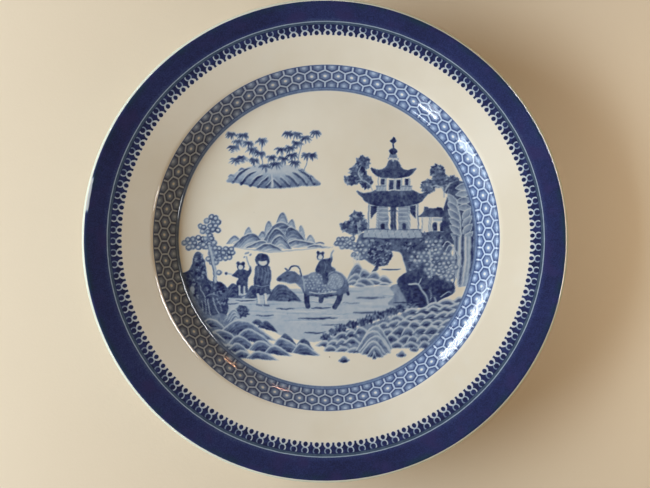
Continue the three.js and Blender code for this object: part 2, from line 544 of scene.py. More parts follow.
def bareClayFinish():
    net = Finish("bareClay")
    grain = net.noise(900.0, 4.0, 0.7)
    stain = net.noise(70.0, 3.0, 0.6)
    colour = net.mix(stain.rise(0.35, 0.75), clayLook["pale"], clayLook["stained"])
    colour = net.mix(grain.rise(0.4, 0.7) * 0.4, colour, clayLook["grit"])
    bump = net.node("ShaderNodeBump", {},
                    {"Strength": clayLook["bump"], "Distance": 0.0006, "Height": grain})
    net.set(Base_Color=colour, Roughness=grain.rise(0.2, 0.8, *clayLook["roughness"]), Normal=bump)
    return net.material


# the painted scene is drawn flat, in millimetres from the middle of the well, x right and y up
painting = {
    "half": 80.0, "cell": 0.125, "seed": 21, "edge": 78.6,
    "shake": ((2.9, 0.27), (1.2, 0.11)), "mottle": ((4.0, 0.11), (1.1, 0.17)),
}


def curveThrough(points, closed=False, steps=6):
    # a smooth line through a few points
    p = np.array(points, float)
    if closed:
        p = np.vstack([p[-1], p, p[0], p[1]])
    else:
        p = np.vstack([2 * p[0] - p[1], p, 2 * p[-1] - p[-2]])
    t = np.linspace(0, 1, steps, endpoint=False)[:, None]
    runs = []
    for a, b, c, d in zip(p, p[1:], p[2:], p[3:]):
        runs.append(0.5 * (2 * b + (c - a) * t + (2 * a - 5 * b + 4 * c - d) * t ** 2
                           + (3 * b - a - 3 * c + d) * t ** 3))
    line = np.vstack(runs)
    return line if closed else np.vstack([line, p[-2]])


class Sheet:
    # cobalt depth on a square sheet, from 0, bare white, to 1, the darkest blue
    def __init__(self, look):
        self.half, self.cell = look["half"], look["cell"]
        count = round(2 * self.half / self.cell)
        self.ink = np.zeros((count, count), np.float32)
        self.ticks = (np.arange(count) + 0.5) * self.cell - self.half
        self.hand = random.Random(look["seed"])

    def window(self, low, high):
        left, right = np.searchsorted(self.ticks, (low[0] - 0.2, high[0] + 0.2))
        bottom, top = np.searchsorted(self.ticks, (low[1] - 0.2, high[1] + 0.2))
        across, up = np.meshgrid(self.ticks[left:right], self.ticks[bottom:top])
        return (slice(bottom, top), slice(left, right)), across, up

    def edge(self, inward):
        return np.clip(inward / self.cell + 0.5, 0, 1)

    def lay(self, area, cover, tone):
        self.ink[area] += (tone - self.ink[area]) * cover

    def stroke(self, points, width, tone, thin=(0.0, 0.0)):
        # a brush line, thinned towards its start and end by the two shares
        line = curveThrough(points) if len(points) > 2 else np.array(points, float)
        area, x, y = self.window(line.min(0) - width, line.max(0) + width)
        cover = np.zeros_like(x)
        for i, (a, b) in enumerate(zip(line, line[1:])):
            run = b - a
            along = np.clip(((x - a[0]) * run[0] + (y - a[1]) * run[1]) / max(run @ run, 1e-9), 0, 1)
            away = np.hypot(x - a[0] - along * run[0], y - a[1] - along * run[1])
            share = (i + along) / (len(line) - 1)
            half = width / 2 * (1 - thin[0] * (1 - share) ** 2 - thin[1] * share ** 2)
            cover = np.maximum(cover, self.edge(half - away))
        self.lay(area, cover, tone)

    def patch(self, outline, tone, smooth=True):
        # a filled outline; tone is a number, or a function of x and y
        ring = curveThrough(outline, closed=True) if smooth else np.array(outline, float)
        area, x, y = self.window(ring.min(0), ring.max(0))
        inside = np.zeros(x.shape, bool)
        for (ax, ay), (bx, by) in zip(ring, np.roll(ring, -1, axis=0)):
            if ay != by:
                inside ^= ((ay > y) != (by > y)) & (x < (bx - ax) * (y - ay) / (by - ay) + ax)
        self.lay(area, inside, tone(x, y) if callable(tone) else tone)

    def box(self, left, bottom, right, top, tone):
        self.patch([(left, bottom), (right, bottom), (right, top), (left, top)], tone, smooth=False)

    def oval(self, x0, y0, rx, ry, tone, lean=0.0):
        reach = max(rx, ry)
        area, x, y = self.window((x0 - reach, y0 - reach), (x0 + reach, y0 + reach))
        c, s = math.cos(math.radians(lean)), math.sin(math.radians(lean))
        u, v = (x - x0) * c + (y - y0) * s, (y - y0) * c - (x - x0) * s
        self.lay(area, self.edge((1 - np.hypot(u / rx, v / ry)) * min(rx, ry)), tone)

    def lobe(self, x0, y0, w, h, lean=0.0, tilt=0.0, tones=(0.08, 0.3, 0.78), line=0.55, soft=0.3):
        # a rock or hill fold: pale along its crest, then shaded down to its foot in a few brush sweeps
        drop = abs(tilt) * w
        area, x, y = self.window((x0 - w, y0 - drop), (x0 + w, y0 + h + drop))
        s = np.clip((x - x0) / w, -1, 1)
        t = np.where(s < lean, (s + 1) / (1 + lean), (1 - s) / (1 - lean))
        foot = y0 + tilt * (x - x0)
        depth = foot + h * np.sin(t * math.pi / 2) ** 1.15 - y
        shade = tones[1] + (tones[2] - tones[1]) * np.clip((depth - line) / (0.62 * h), 0, 1) ** 0.9
        sweep = np.cos(2 * math.pi * (depth / 1.8 + 0.2 * s * w)) - 0.35
        shade -= np.clip(sweep, 0, 1) * 0.34 * np.clip(depth / line - 1.4, 0, 1)
        crest = np.clip((line - depth) / soft + 0.5, 0, 1)
        cover = self.edge(depth) * self.edge(y - foot)
        self.lay(area, cover, shade + (tones[0] - shade) * crest)

    def spots(self, x0, y0, rx, ry, pitch):
        # places packed like honeycomb inside an oval, a little out of step
        rows = int(ry / (pitch * 0.85)) + 1
        columns = int(rx / pitch) + 1
        for row in range(-rows, rows + 1):
            for column in range(-columns, columns + 1):
                dx = (column + 0.5 * (row % 2)) * pitch + self.hand.uniform(-0.2, 0.2) * pitch
                dy = row * pitch * 0.85 + self.hand.uniform(-0.2, 0.2) * pitch
                if (dx / rx) ** 2 + (dy / ry) ** 2 <= 1:
                    yield x0 + dx, y0 + dy

    def ringLeaves(self, x0, y0, rx, ry, size=1.6, tones=(0.62, 0.06)):
        # a clump of round leaves with pale hearts
        for x, y in self.spots(x0, y0, rx, ry, size * 1.72):
            self.oval(x, y, size, size * 0.95, tones[0] + self.hand.uniform(-0.12, 0.12))
            self.oval(x - 0.1, y + 0.15, size * 0.5, size * 0.46, tones[1] + self.hand.uniform(0, 0.14))

    def foliage(self, x0, y0, rx, ry, tone=0.72):
        # a dark clump of small leaves that point outwards
        for k in range(7):
            a = 2 * math.pi * (k + self.hand.uniform(-0.25, 0.25)) / 7
            self.oval(x0 + 0.56 * rx * math.cos(a), y0 + 0.56 * ry * math.sin(a), 0.42 * rx, 0.42 * ry,
                      tone - 0.04)
        self.oval(x0, y0, 0.62 * rx, 0.62 * ry, tone - 0.1)
        for k in range(int(12 * math.sqrt(rx * ry))):
            a = self.hand.uniform(0, 2 * math.pi)
            far = 0.9 * math.sqrt(self.hand.uniform(0.02, 1))
            x, y = x0 + rx * far * math.cos(a), y0 + ry * far * math.sin(a)
            a += self.hand.uniform(-1.1, 1.1)
            long = self.hand.uniform(0.7, 1.3)
            self.stroke([(x, y), (x + long * math.cos(a), y + long * math.sin(a))], 1.05,
                        tone + self.hand.choice((-0.4, -0.2, 0, 0.08, 0.12)), (0.0, 0.6))

    def bamboo(self, x0, y0, size=3.6, leaves=9):
        # a spray of narrow leaves round one joint of the cane, the longest of them drooping
        for k in range(leaves):
            a = math.radians(150 + 240 * k / (leaves - 1) + self.hand.uniform(-12, 12))
            long = size * self.hand.uniform(0.75, 1.1) * (1 if math.sin(a) < 0.2 else 0.8)
            tip = (x0 + long * math.cos(a) * 1.08, y0 + long * math.sin(a) * 0.84 - 0.35)
            middle = (x0 + 0.55 * (tip[0] - x0), y0 + 0.5 * (tip[1] - y0) + 0.45)
            self.stroke([(x0, y0), middle, tip], 1.05, self.hand.uniform(0.5, 0.88), (0.1, 0.85))
        self.oval(x0, y0 + 0.2, 1.1, 0.8, 0.82)

    def pod(self, x0, y0, length, width, lean, tones=(0.08, 0.22, 0.6)):
        # one fat leaf with a pale edge, shaded along one side
        reach = length * 0.6
        area, x, y = self.window((x0 - reach, y0 - reach), (x0 + reach, y0 + reach))
        c, s = math.cos(math.radians(lean)), math.sin(math.radians(lean))
        u, v = ((x - x0) * c + (y - y0) * s) / length + 0.5, (y - y0) * c - (x - x0) * s
        half = width / 2 * np.sin(np.clip(u, 0, 1) ** 0.8 * math.pi) ** 0.75
        inward = half - np.abs(v)
        shade = tones[1] + (tones[2] - tones[1]) * np.clip(0.5 - v / width, 0, 1)
        shade += (tones[0] - shade) * np.clip((0.5 - inward) / 0.2, 0, 1)
        self.lay(area, self.edge(inward) * (u > 0) * (u < 1), shade)

    def at(self, across, up):
        # the ink at any places, in millimetres
        last = self.ink.shape[0] - 1.001
        x = np.clip((across + self.half) / self.cell - 0.5, 0, last)
        y = np.clip((up + self.half) / self.cell - 0.5, 0, last)
        left, low = x.astype(int), y.astype(int)
        fx, fy = x - left, y - low
        return ((self.ink[low, left] * (1 - fx) + self.ink[low, left + 1] * fx) * (1 - fy)
                + (self.ink[low + 1, left] * (1 - fx) + self.ink[low + 1, left + 1] * fx) * fy)

    def wander(self, pitch, reach):
        # a smooth random drift over the whole sheet, with pitch millimetres between its turns
        count = int(2 * self.half / pitch) + 3
        grid = np.array([[self.hand.uniform(-reach, reach) for _ in range(count)] for _ in range(count)])
        place = (self.ticks + self.half) / pitch
        low = place.astype(int)
        share = (place - low) ** 2 * (3 - 2 * (place - low))
        rows = grid[low] * (1 - share)[:, None] + grid[low + 1] * share[:, None]
        return rows[:, low] * (1 - share) + rows[:, low + 1] * share

    def loosen(self, look):
        # lines that are never quite true, and washes that are never quite even
        across, up = np.meshgrid(self.ticks, self.ticks)
        for pitch, reach in look["shake"]:
            across, up = across + self.wander(pitch, reach), up + self.wander(pitch, reach)
        self.ink = self.at(across, up)
        for pitch, reach in look["mottle"]:
            self.ink = self.ink * (1 + self.wander(pitch, reach) * np.clip(self.ink * 3, 0, 1))

    def read(self, points):
        # the ink at each point, averaged a little so that fine lines survive on the mesh
        for axis in (0, 1):
            self.ink = (np.roll(self.ink, 1, axis) + self.ink + np.roll(self.ink, -1, axis)) / 3
        return self.at(*(points[:, :2] / mm).T)


def fade(y0, y1, low, high):
    # a wash from one tone at height y0 to another at y1
    return lambda x, y: low + (high - low) * np.clip((y - y0) / (y1 - y0), 0, 1)


def paintIsland(sheet):
    outline = [(-53.3, 30.3), (-49, 34.2), (-43, 37.4), (-36, 39.2), (-28, 39.6), (-20, 39.0), (-13, 37.0),
               (-8, 33.2), (-3, 28.6), (-12, 27.8), (-21, 26.9), (-30, 26.5), (-39, 27.7), (-47, 29.4)]
    sheet.patch(outline, fade(27.0, 35.5, 0.58, 0.16))
    for side, tips in ((-1, ((-49.5, 29.9), (-45, 29.0), (-40.5, 28.0), (-36, 27.5), (-31.8, 27.2))),
                       (1, ((-6.5, 28.8), (-10.5, 28.4), (-15, 28.0), (-19.5, 27.6), (-24, 27.2)))):
        for k, (x, y) in enumerate(tips):
            rise = 7.4 - 0.9 * k
            start = (x - side * (8.5 - 1.1 * k), y + rise)
            knee = (x - side * (3.4 - 0.3 * k), y + 0.62 * rise)
            sheet.stroke([start, knee, (x, y)], 2.1, 0.82, (0.85, 0.35))
            lifted = [(px, py + 0.85) for px, py in (start, knee, (x, y + 0.1))]
            sheet.stroke(lifted, 0.7, 0.1, (0.3, 0.5))
    sheet.stroke([(-29, 33.6), (-28.6, 30), (-28.8, 27.4)], 1.5, 0.12, (0.6, 0.1))
    for x, y in ((-50.5, 33.4), (-45, 36.9), (-13, 36.2), (-8.5, 32.6)):
        sheet.stroke([(x - 1.2, y - 0.8), (x, y + 0.2), (x + 1.3, y - 0.4)], 1.0, 0.55, (0.4, 0.4))
    for foot, top in (((-38, 38), (-40, 50)), ((-34, 39), (-34.6, 51)), ((-22, 39), (-23.5, 45)),
                      ((-16, 38), (-13, 50)), ((-11.8, 36), (-10, 43))):
        sheet.stroke([foot, top], 0.4, 0.5)
    sprays = ((-50.6, 55.2), (-44.4, 54.6), (-46.7, 51.2), (-49.3, 48.3), (-34.4, 51.9), (-41.5, 50.4),
              (-39.5, 47.0), (-35, 45.2), (-48.3, 41.8), (-45.2, 42.6), (-38.2, 41.6), (-32.6, 38.4),
              (-29.2, 42.8), (-26.8, 39.4), (-24.2, 47.2), (-19.4, 48.0), (-18.2, 44.0), (-22.8, 42.2),
              (-17, 40.4), (-20.3, 55.9), (-16.0, 55.3), (-15.8, 50.6), (-11.3, 53.2), (-5.7, 56.4),
              (-10.2, 44.2), (-7.5, 44.2))
    for x, y in sprays:
        sheet.bamboo(x, y, 3.5, 9)


def paintMountains(sheet):
    far = ((-23.5, 3, 4.6, 10.9, 0.5), (-30.6, 0, 3.4, 9.4, 0.46), (-41.3, -2, 3.6, 8.2, 0.4),
           (-34, -2, 3.0, 6.0, 0.46), (-13.4, -2, 2.6, 9.2, 0.4), (-18.5, 2, 3.2, 8.4, 0.46),
           (-8.6, -4, 3.6, 5.8, 0.32), (-48.8, -3, 4.4, 4.6, 0.4))
    for x, y, w, h, tone in far:
        sheet.lobe(x, y, w, h, tones=(tone + 0.12, tone, 0.2), line=0.8)
    near = ((-22.8, -4.6, 13.5, 13.4, -0.12), (-41, -4.8, 10.0, 8.0, 0.12), (-16.4, -4.8, 8.2, 11.2, -0.35),
            (-25.8, -4.9, 7.6, 10.6, -0.05), (-36.6, -5.0, 7.6, 4.2, 0.4), (-12, -4.8, 13.0, 4.4, -0.35),
            (-25.0, -5.6, 6.8, 7.6, 0.02), (-31.2, -6.6, 8.4, 4.4, 0.05), (-3.5, -4.9, 8.5, 1.9, -0.3))
    for x, y, w, h, lean in near:
        sheet.lobe(x, y, w, h, lean, tones=(0.07, 0.76, 0.24), line=0.7)
    sheet.stroke([(-50, -4.4), (-38, -6.2), (-27, -7.2), (-15, -6), (4, -4.4)], 1.2, 0.2, (0.8, 0.8))
    sheet.stroke([(-5.6, -2.6), (-3.2, -2.2), (-1, -2.9)], 1.0, 0.7, (0.6, 0.8))


def paintLeftTree(sheet):
    sheet.patch([(-69.4, -7.6), (-66.2, -8.6), (-64.2, -14), (-62.6, -22), (-56, -23.2), (-52.6, -26.5),
                 (-52.2, -33), (-52.8, -40), (-58, -43.4), (-65, -43), (-69, -38), (-72, -31), (-76, -26),
                 (-76.5, -19), (-72.6, -16.4)], 0.76)
    for x, y, rx, ry in ((-67.2, -12, 2.2, 3.8), (-66.6, -18.6, 3.2, 3.6), (-58.6, -26.6, 5.4, 3.2),
                         (-55.0, -31.4, 2.6, 4.0), (-70.6, -30.6, 2.6, 4.4)):
        sheet.foliage(x, y, rx, ry, 0.8)
    sheet.oval(-71.3, -27.2, 1.2, 2.2, 0.25)
    trunks = (([(-67.5, -22.5), (-66.6, -27), (-64.4, -31), (-63.8, -41)], 0.7),
              ([(-64.4, -31), (-61, -29.4), (-57.4, -30.6)], 0.5),
              ([(-62.8, -32), (-62.4, -37), (-60.8, -42.6)], 0.9),
              ([(-60.2, -31.5), (-59, -36), (-56.8, -41)], 0.8),
              ([(-66, -33), (-65.6, -38), (-63.8, -42)], 0.6),
              ([(-58.2, -32.2), (-56.4, -35), (-55.6, -39)], 0.5))
    for line, width in trunks:
        sheet.stroke(line, width, 0.26, (0.4, 0.4))
    sheet.foliage(-69.6, -21.0, 4.6, 4.0, 0.84)
    for x, y, rx, ry in ((-61.6, 6.4, 5.0, 5.6), (-69.4, -2.4, 6.3, 4.4), (-62.6, -2.6, 4.0, 4.2),
                         (-54.8, -7.6, 6.6, 4.6), (-59.6, -10.6, 4.4, 4.2), (-57.2, -18.6, 2.0, 2.2)):
        sheet.ringLeaves(x, y, rx, ry)
    sheet.stroke([(-62.4, -4), (-60.8, -10), (-59.6, -16), (-58.9, -23)], 1.9, 0.6)
    sheet.stroke([(-62.2, -4), (-60.6, -10), (-59.4, -16), (-58.7, -23)], 1.2, 0.2)
    sheet.stroke([(-61.2, -9), (-58.6, -10.8), (-56.4, -10.2)], 0.5, 0.3)


def paintBigTrees(sheet):
    for x, y, rx, ry in ((19.4, 39.9, 3.6, 3.7), (15.8, 35.9, 3.7, 3.3), (13.4, 30.9, 4.0, 2.7),
                         (18.4, 32.8, 3.8, 3.4), (21.6, 29.9, 3.4, 3.6),
                         (58.8, 35.6, 3.9, 3.6), (54.2, 27.8, 3.7, 3.8), (60.4, 31.0, 4.6, 4.0),
                         (66.8, 30.2, 3.6, 2.8), (64.6, 27.0, 3.0, 3.0),
                         (15.9, 10.8, 3.7, 3.5), (10.7, 6.3, 3.5, 3.0), (18.4, 7.2, 3.6, 3.8),
                         (14.6, 5.2, 4.2, 3.6)):
        sheet.foliage(x, y, rx, ry)
    for line in ([(24.4, 26.0), (22.6, 29.2), (19.4, 30.7), (15.4, 30.6)],
                 [(18.4, 31.4), (16.9, 34.8), (18.4, 38.2)],
                 [(62.6, 21.8), (61.4, 26.6), (58.2, 28.2), (55.2, 27.0)],
                 [(62.8, 25.2), (65.4, 28.9), (66.9, 29.6)], [(17.4, -3.0), (17.0, 3), (16.5, 8.4)]):
        sheet.stroke(line, 0.8, 0.2, (0.1, 0.6))


def paintPagoda(sheet):
    middle = 35.5

    def mirrored(half):
        # an outline from one side, copied to the other
        return half + [(2 * middle - x, y) for x, y in reversed(half)]

    # the hill, and the wash that falls from it
    sheet.patch([(19, 3), (30, 1), (46, 2), (62, 4.6), (66, 0), (66, -8), (58, -16), (50, -20), (44, -20),
                 (41.6, -14), (39.4, -8), (34, -7), (32, -14), (26, -14), (20, -11), (16, -5)],
                fade(-18, 4, 0.72, 0.62))
    for x, y, rx, ry in ((24, -2.2, 3.4, 2.2), (31, -3.4, 3.4, 2.4), (44, -4.4, 3.6, 2.8),
                         (52, 0.6, 4.0, 2.4), (46.4, -12.4, 3.4, 3.6), (60, -1.6, 3.4, 3.0),
                         (47.4, -18.4, 3.4, 2.8)):
        sheet.foliage(x, y, rx, ry, 0.72)
    # terrace and rail
    sheet.patch([(20.3, 4.9), (49.9, 4.9), (51.4, 0.2), (19.6, 0.2)], 0.26, smooth=False)
    for k in range(9):
        x = 21.5 + 3.5 * k
        sheet.stroke([(x, 4.6), (x + 1.4, 0.6)], 0.35, 0.5)
        sheet.stroke([(x + 1.6, 4.6), (x, 2.4)], 0.3, 0.12)
    sheet.stroke([(19.8, 4.8), (50.8, 4.8)], 0.5, 0.66)
    sheet.stroke([(19.4, 0.1), (35, -0.5), (51.6, 0.1)], 0.9, 0.76)
    # lower storey
    sheet.box(22.0, 5.0, 49.0, 18.4, 0.05)
    for x, width, tone in ((22.4, 0.5, 0.5), (48.6, 0.5, 0.5), (26.8, 0.35, 0.45), (44.2, 0.35, 0.45)):
        sheet.stroke([(x, 5), (x, 18)], width, tone)
    for side in (-1, 1):
        sheet.patch([(middle + side * a, y) for a, y in ((12.2, 17.4), (8.9, 17.4), (9.2, 14),
                                                         (11.9, 10.4))], 0.86,
                    smooth=False)
        inner, outer = sorted((middle + side * 2.6, middle + side * 8.2))
        sheet.box(inner, 5.0, outer, 17.6, 0.4)
        for k in range(4):
            sheet.stroke([(inner + 0.6, 15.8 - 2.2 * k), (outer - 0.6, 15.8 - 2.2 * k)], 0.5, 0.16)
        door = middle + side * 5.6
        sheet.box(door - 1.0, 5.0, door + 1.0, 7.2, 0.9)
        sheet.oval(door, 7.2, 1.0, 0.9, 0.9)
        sheet.stroke([(middle + side * 2.0, 5.0), (middle + side * 2.0, 16.6)], 0.9, 0.04)
    sheet.box(middle - 1.4, 5.0, middle + 1.4, 17.2, 0.74)
    sheet.stroke([(middle, 5), (middle, 15)], 0.4, 0.5)
    sheet.patch([(middle - 2.6, 14.2), (middle, 16.6), (middle + 2.6, 14.2),
                 (middle, 14.9)], 0.82, smooth=False)
    # lower roof
    sheet.patch(mirrored([(15.8, 25.5), (20.6, 24.0), (24.4, 25.2), (27.0, 26.0), (33, 25.4)])
                + [(52.4, 21.6), (49.2, 18.5), (42, 17.2), (middle, 16.8), (29, 17.2), (22.2, 18.5),
                   (18.8, 21.6)],
                fade(17, 26, 0.84, 0.72))
    for k in range(-4, 5):
        sheet.stroke([(middle + 1.9 * k, 24.6), (middle + 3.1 * k, 17.9)], 0.3, 0.66, (0.3, 0.3))
    # upper storey, its windows and its rail
    sheet.box(27.4, 25.6, 44.2, 32.4, 0.05)
    for x, low, high, wide in ((30.0, 28.4, 31.6, 1.9), (34.4, 26.0, 31.0, 2.3), (38.1, 26.0, 31.0, 2.2),
                               (42.5, 28.2, 31.6, 1.8)):
        sheet.box(x - wide / 2, low, x + wide / 2, high, 0.9)
    for x in (27.6, 31.6, 36.2, 39.8, 44.0):
        sheet.stroke([(x, 25.4), (x, 32)], 0.35, 0.42)
    for left, right in ((26.2, 31.4), (39.8, 45.2)):
        sheet.box(left, 25.2, right, 27.8, 0.3)
        sheet.stroke([(left, 27.8), (right, 27.8)], 0.4, 0.6)
        for k in range(3):
            sheet.stroke([(left + 0.8 + 1.8 * k, 25.4), (left + 1.6 + 1.8 * k, 27.5)], 0.3, 0.08)
    # upper roof, neck and finial
    sheet.patch(mirrored([(23.4, 37.5), (27.8, 36.4), (31.2, 37.6), (33.2, 41.4)])
                + [(45.9, 34.6), (44.0, 32.9), (40, 32.1), (middle, 31.9), (31, 32.1), (27.0, 32.9),
                   (25.1, 34.6)],
                fade(32, 40, 0.84, 0.74))
    sheet.patch(mirrored([(32.4, 42.6), (32.8, 41.4), (33.6, 44.9)]), 0.48, smooth=False)
    sheet.patch([(middle - 0.9, 41.6), (middle, 42.6), (middle + 0.9, 41.6),
                 (middle, 40.6)], 0.16, smooth=False)
    sheet.patch(mirrored([(32.9, 46.1), (34.2, 44.9), (35.2, 44.6)]) + [(37, 47.2), (middle, 48.2),
                                                                        (34, 47.2)], 0.95,
                smooth=False)
    sheet.stroke([(middle, 47), (middle, 51)], 0.6, 0.9)
    sheet.patch([(middle - 1.8, 51.6), (middle, 49.9), (middle + 1.8, 51.6),
                 (middle, 53.8)], 0.95, smooth=False)
    # the small house beside it
    sheet.box(50.2, 3.8, 63.8, 11.4, 0.06)
    sheet.box(56.4, 9.2, 63.4, 10.6, 0.24)
    for x in (50.6, 54.6, 55.4):
        sheet.stroke([(x, 4), (x, 11)], 0.35, 0.4)
    for x in (57.6, 61.6):
        sheet.box(x - 1.1, 4.0, x + 1.1, 7.6, 0.88)
        sheet.oval(x, 7.6, 1.1, 1.0, 0.88)
    sheet.patch([(48.6, 11.4), (51.6, 14.4), (51.9, 16.9), (53.6, 16.6), (54.4, 15.8), (58.6, 16.0),
                 (59.0, 16.8), (61.6, 16.2), (63.4, 11.2)], fade(11, 17, 0.66, 0.9), smooth=False)


def paintRightTrees(sheet):
    # the tall tree of fat leaves at the edge
    sheet.patch([(64.5, 24), (67, 29), (72, 30), (77, 22), (79, 8), (79, -4), (70, -4), (64, 0),
                 (61.5, 10)], 0.74)
    for k in range(4):
        sheet.pod(72.0 + 0.3 * k, 27.2 - 3.6 * k, 8.0, 3.9, 190 - 4 * k)
    for k in range(6):
        sheet.pod(66.6 + 0.5 * k, 20.8 - 4.1 * k, 8.2, 4.0, 130 + 3 * k)
    for k in range(5):
        sheet.pod(74.4 + 0.3 * k, 13.0 - 4.0 * k, 7.6, 3.8, 58 - 4 * k)
    sheet.stroke([(69.4, 20), (71, 10), (71.6, 0), (70.6, -8)], 0.7, 0.14)
    # tall reeds below it
    sheet.patch([(67.6, 1), (79.5, 1), (79.5, -14), (76.5, -25), (70, -26),
                 (67.4, -14)], 0.36, smooth=False)
    for k, (x, tone) in enumerate(((68.6, 0.7), (70.4, 0.12), (71.9, 0.74), (73.4, 0.1), (75.3, 0.2),
                                   (76.9, 0.82), (78.3, 0.8))):
        sheet.stroke([(x + 0.6, 0.6), (x + 0.2, -12), (x - 1.2, -25)], 1.3, tone, (0.2, 0.6))
    for k in range(3):
        top = (63.6 + 1.6 * k, -1.6 - 2.2 * k)
        sheet.stroke([(top[0] - 3, top[1] - 5.4), top, (top[0] + 3.4, top[1] - 2.6),
                      (top[0] + 5, top[1] - 9)], 0.8,
                     0.1 + 0.05 * k, (0.3, 0.5))
    # the darker ground under the ring-leaf tree
    sheet.patch([(37.6, -23.4), (41, -19), (50, -16.5), (62, -20.5), (67.6, -24), (67.2, -29),
                 (60, -33), (56, -37), (50, -36.6), (44, -35.6), (41, -30)], 0.86)
    for x, y, rx, ry in ((57.0, -3.6, 4.6, 3.9), (51.0, -9.8, 6.8, 4.2), (58.5, -10.5, 5, 5),
                         (63.6, -15.4, 5.8, 6.8), (55, -16.4, 4.0, 4.2)):
        sheet.ringLeaves(x, y, rx, ry, 1.5, (0.58, 0.1))
    for line, width in (([(54.6, -6), (55.4, -13), (56.2, -21)], 0.9),
                        ([(44, -24.2), (48.4, -24.3), (50.8, -27.6), (53.3, -31.8), (54.9, -38.8)], 1.1),
                        ([(49, -24.6), (50.2, -21)], 0.6), ([(55.2, -33), (55.8, -29.5), (54.6, -27)], 0.5),
                        ([(58.4, -34.6), (57.4, -31)], 0.9),
                        ([(60.6, -31), (64.6, -28.2), (66.2, -28.6)], 0.6)):
        sheet.stroke(line, width, 0.18, (0.2, 0.4))


def paintMiddle(sheet):
    # the grove and rocks in front of the terrace
    sheet.ringLeaves(9.8, -2.6, 5.6, 3.6, 1.45, (0.56, 0.12))
    sheet.ringLeaves(18.6, -6.2, 5.2, 5.0, 1.45, (0.64, 0.16))
    sheet.foliage(28.6, -8.6, 6.6, 6.2, 0.84)
    for x, y in sheet.spots(28.6, -8.4, 5.6, 5.2, 2.5):
        sheet.oval(x, y, 0.62, 0.4, 0.3, 30)
    sheet.stroke([(27.4, -12), (26.4, -16), (24.2, -18)], 1.8, 0.86, (0, 0.4))
    for x in (14.4, 15.8, 17.2):
        sheet.stroke([(x, -9.5), (x + 0.2, -13.4)], 0.7, 0.1)
    folds = ((16.2, -23.4, 6.4, 10.4, 0.05), (21.2, -23.6, 5.4, 7.6, -0.2), (25.0, -23.4, 5.4, 6.2, 0),
             (30.8, -23.8, 4.8, 4.4, -0.1), (15.0, -23.8, 5.2, 5.6, 0.2), (26.4, -24.6, 6.8, 3.6, -0.4),
             (20.2, -24.8, 6.4, 4.2, -0.1), (13.6, -24.8, 4.6, 3.0, 0.25), (31.2, -24.8, 4.4, 1.9, -0.3),
             (17.8, -25.4, 4.4, 2.2, 0))
    for x, y, w, h, lean in folds:
        sheet.lobe(x, y, w, h, lean, tones=(0.12, 0.4, 0.86), line=1.0, soft=0.7)


def paintWater(sheet):
    sheet.patch([(-54, -30), (-30, -27), (-8, -26.6), (14, -26), (34, -25.4), (44, -30), (46, -37),
                 (34, -40), (20, -45), (6, -50), (-6, -55), (-22, -52), (-36, -46), (-50, -42)], 0.2)
    for k in range(60):
        x, y = sheet.hand.uniform(-46, 40), sheet.hand.uniform(-51, -27)
        if y > -29 - 0.5 * abs(x) + 24 or y < -44 - abs(x) * 0.1 + (6 if x > 24 or x < -34 else 0):
            continue
        long = sheet.hand.uniform(4, 11)
        sheet.stroke([(x - long, y), (x, y + sheet.hand.uniform(-0.4, 0.4)), (x + long, y)], 0.9,
                     sheet.hand.choice((0.08, 0.1, 0.3, 0.36)), (0.9, 0.9))
    sheet.patch([(34, -25.6), (42, -24), (46, -30), (44, -36), (33, -35), (36, -30)], 0.42)
    ripples = ((-43, -33.0, 5.4, 0.9), (-21.8, -37.4, 5, 0.9), (-32.6, -41.0, 4.6, 1.1),
               (-2.8, -37.0, 5.2, 1.1), (-4.6, -42.4, 10.5, 1.5), (23.5, -31.5, 7.4, 1.2),
               (21.9, -39.4, 7.6, 1.2), (41.4, -34.0, 5.6, 1.2), (-6.3, -50.1, 5.6, 1.2),
               (13, -34.2, 4.6, 0.6), (2, -45.8, 4.4, 0.8), (34.5, -16.4, 5, 1.1), (-50, -34.6, 3.4, 0.9))
    for x, y, long, width in ripples:
        sheet.stroke([(x - long, y + 0.1), (x, y - 0.1), (x + long, y + 0.2)], width, 0.8, (0.75, 0.75))


